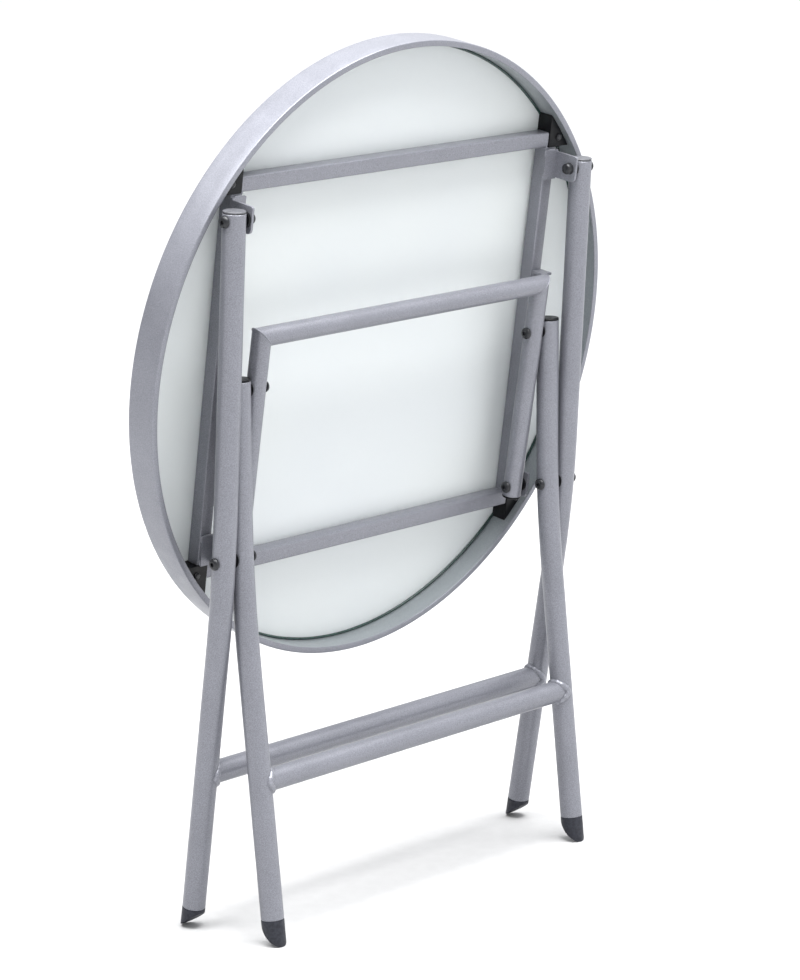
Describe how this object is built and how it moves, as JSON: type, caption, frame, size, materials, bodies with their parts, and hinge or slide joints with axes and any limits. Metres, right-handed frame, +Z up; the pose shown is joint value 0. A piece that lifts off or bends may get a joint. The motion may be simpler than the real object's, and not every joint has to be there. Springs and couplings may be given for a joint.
{
  "type": "folding bistro table",
  "caption": "Round glass-topped bistro table that folds flat on crossed tube leg frames, with a link frame whose grab bar locks it open; shown folded and standing on its feet.",
  "frame": {"origin": "on the floor, below the middle of the bounding box of the folded, standing table", "axes": "+Z up; +X along the pivot lines; +Y from the leg side towards the glass side of the folded top"},
  "size_m": [0.7, 0.1642, 0.9596],
  "materials": {
    "frame_silver": "satin silver-grey powder coat",
    "rim_silver": "satin silver coating",
    "frosted_glass": "frosted, pale green edge",
    "black_plastic": "moulded, matt",
    "black_fastener": "black, satin",
    "grey_plug": "moulded, matt",
    "foot_plastic": "matt",
    "glass_pad": "translucent, matt"
  },
  "bodies": {
    "outer_leg_frame": {"outer_stretcher": "frame_silver", "outer_leg_right": "frame_silver", "outer_foot_right": "foot_plastic", "outer_top_plug_right": "grey_plug", "top_pivot_bolt_right": "black_fastener", "top_pivot_washer_right": "black_plastic", "cross_pivot_bolt_right": "black_fastener", "cross_pivot_washer_right": "black_plastic", "outer_leg_left": "frame_silver", "outer_foot_left": "foot_plastic", "outer_top_plug_left": "grey_plug", "top_pivot_bolt_left": "black_fastener", "top_pivot_washer_left": "black_plastic", "cross_pivot_bolt_left": "black_fastener", "cross_pivot_washer_left": "black_plastic"},
    "tabletop": {"rim": "rim_silver", "glass_top": "frosted_glass", "crossbar_upper": "frame_silver", "crossbar_lower": "frame_silver", "rail_right": "frame_silver", "corner_block_upper_right": "black_plastic", "corner_block_lower_right": "black_plastic", "corner_screw_upper_right": "black_fastener", "corner_screw_lower_right": "black_fastener", "glass_pad_upper_right": "glass_pad", "glass_pad_lower_right": "glass_pad", "leg_bracket_right": "frame_silver", "link_bracket_right": "frame_silver", "bar_stop_right": "frame_silver", "rail_left": "frame_silver", "corner_block_upper_left": "black_plastic", "corner_block_lower_left": "black_plastic", "corner_screw_upper_left": "black_fastener", "corner_screw_lower_left": "black_fastener", "glass_pad_upper_left": "glass_pad", "glass_pad_lower_left": "glass_pad", "leg_bracket_left": "frame_silver", "link_bracket_left": "frame_silver", "bar_stop_left": "frame_silver"},
    "inner_leg_frame": {"inner_stretcher": "frame_silver", "inner_leg_right": "frame_silver", "inner_foot_right": "foot_plastic", "inner_top_cap_right": "black_plastic", "inner_leg_left": "frame_silver", "inner_foot_left": "foot_plastic", "inner_top_cap_left": "black_plastic"},
    "link_frame": {"grab_bar": "frame_silver", "link_right": "frame_silver", "link_plug_right": "black_plastic", "lock_pivot_bolt_right": "black_fastener", "lock_pivot_washer_right": "black_plastic", "link_pivot_bolt_right": "black_fastener", "link_pivot_washer_right": "black_plastic", "link_left": "frame_silver", "link_plug_left": "black_plastic", "lock_pivot_bolt_left": "black_fastener", "lock_pivot_washer_left": "black_plastic", "link_pivot_bolt_left": "black_fastener", "link_pivot_washer_left": "black_plastic"}
  },
  "joints": [
    {"name": "top_tilt", "type": "hinge", "parent": "outer_leg_frame", "child": "tabletop", "pos_m": [0, -0.04847, 0.78992], "axis": [1, 0, 0], "range_deg": [0, 54.44]},
    {"name": "leg_spread", "type": "hinge", "parent": "outer_leg_frame", "child": "inner_leg_frame", "pos_m": [0, -0.02594, 0.4233], "axis": [-1, 0, 0], "range_deg": [0, 57.4]},
    {"name": "link_swing", "type": "hinge", "parent": "tabletop", "child": "link_frame", "pos_m": [0, 0.00604, 0.4189], "axis": [1, 0, 0], "range_deg": [0, 58.31]}
  ],
  "couplings": [
    {"joint": "leg_spread", "follows": "top_tilt", "ratio": 1.0544},
    {"joint": "link_swing", "follows": "top_tilt", "ratio": 1.071}
  ]
}
